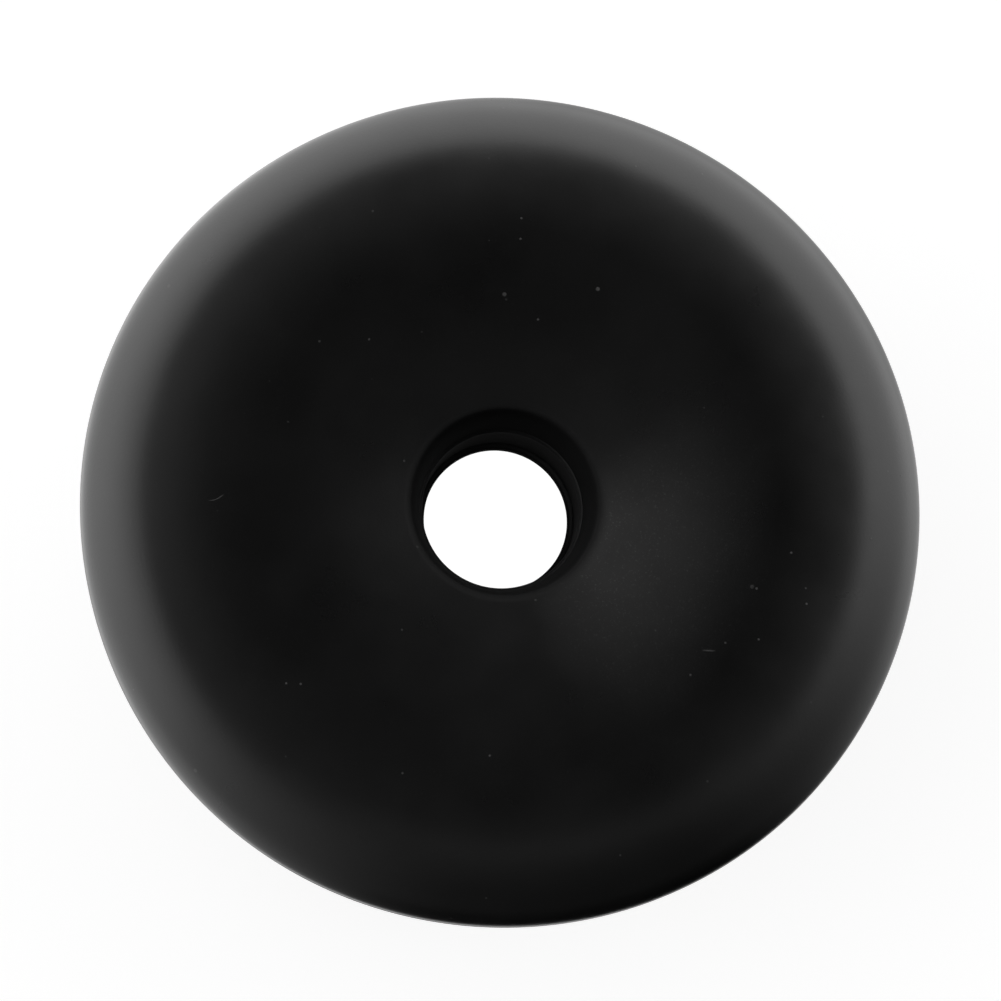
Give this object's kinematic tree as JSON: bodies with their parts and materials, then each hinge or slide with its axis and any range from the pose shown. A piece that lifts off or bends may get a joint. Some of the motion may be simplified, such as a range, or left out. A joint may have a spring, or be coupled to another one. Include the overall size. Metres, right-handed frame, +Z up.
{
  "type": "sink plunger head",
  "caption": "Rubber head of a sink plunger: a broad dished crown on a folding wall and skirt, with a handle socket through the hub.",
  "frame": {"origin": "centre of the mouth, on the plane that the foot of the skirt stands on", "axes": "+Z up along the axis of the head, from the mouth to the handle socket; X and Y are equivalent"},
  "size_m": [0.12, 0.12, 0.052],
  "materials": {
    "rubber": "matte black moulded rubber",
    "sleeve_plastic": "black moulded plastic, half matte",
    "washer_steel": "zinc plated, dull",
    "ring_plastic": "black moulded plastic, matte"
  },
  "bodies": {
    "cup_skirt": {"skirt": "rubber", "flex_wall": "rubber"},
    "crown": {"shoulder": "rubber", "dish_web": "rubber"},
    "socket": {"hub": "rubber", "socket_sleeve": "sleeve_plastic", "backing_washer": "washer_steel", "lock_ring": "ring_plastic"}
  },
  "joints": [
    {"name": "plunge", "type": "slide", "parent": "cup_skirt", "child": "crown", "axis": [0, 0, 1], "range_m": [-0.012, 0], "stiffness_N_per_m": 2500, "deforming": ["flex_wall"]},
    {"name": "dish_flex", "type": "slide", "parent": "crown", "child": "socket", "axis": [0, 0, 1], "range_m": [-0.004, 0], "stiffness_N_per_m": 4000, "deforming": ["dish_web"]}
  ],
  "couplings": [
    {"joint": "dish_flex", "follows": "plunge", "ratio": 0.33333}
  ]
}
